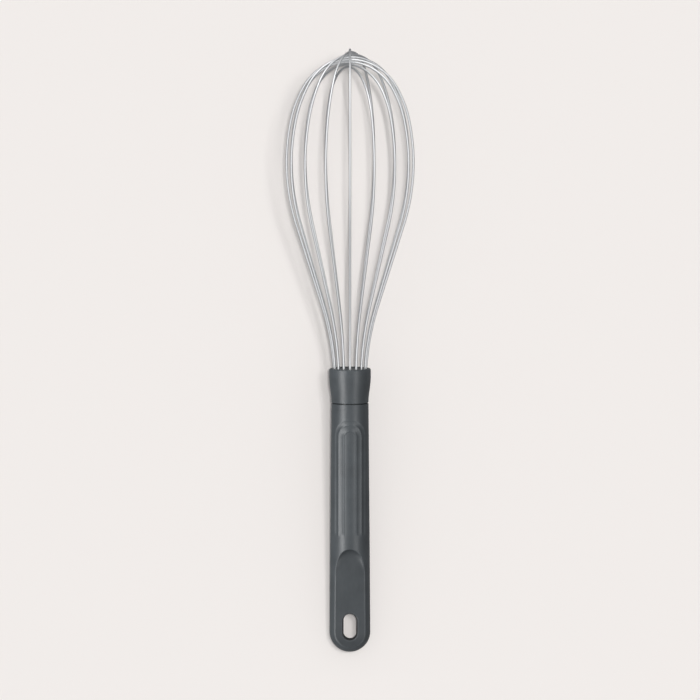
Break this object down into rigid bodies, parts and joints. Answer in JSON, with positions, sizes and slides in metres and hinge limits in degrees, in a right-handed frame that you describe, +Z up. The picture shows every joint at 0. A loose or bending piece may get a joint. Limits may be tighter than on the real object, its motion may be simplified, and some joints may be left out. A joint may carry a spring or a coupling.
{
  "type": "balloon whisk",
  "caption": "Balloon whisk lying at rest: crossed steel wire loops in a flared collar on a round moulded handle with arched grip flutes and a hanging slot.",
  "frame": {"origin": "centre of the bounding box's bottom face: the table that the whisk lies on", "axes": "+Z up from the table, +Y along the whisk from the handle to the wires, which rise 6.4 degrees towards the crown, +X to the right seen from above with the wires pointing away"},
  "size_m": [0.064, 0.2984, 0.0649],
  "materials": {
    "wire_steel": "satin drawn stainless wire",
    "core_nylon": "matte moulded nylon",
    "collar_nylon": "finely textured slate grey nylon",
    "handle_nylon": "finely textured slate grey nylon",
    "ring_steel": "plain steel strip",
    "sealing_resin": "cast resin"
  },
  "bodies": {
    "root": {"wire_loop_1": "wire_steel", "wire_loop_2": "wire_steel", "wire_loop_3": "wire_steel", "wire_loop_4": "wire_steel", "wire_loop_5": "wire_steel", "wire_loop_6": "wire_steel", "wire_loop_7": "wire_steel", "wire_loop_8": "wire_steel", "wire_core": "core_nylon", "collar": "collar_nylon", "handle": "handle_nylon", "binding_ring": "ring_steel", "sealing_resin": "sealing_resin"}
  },
  "joints": []
}
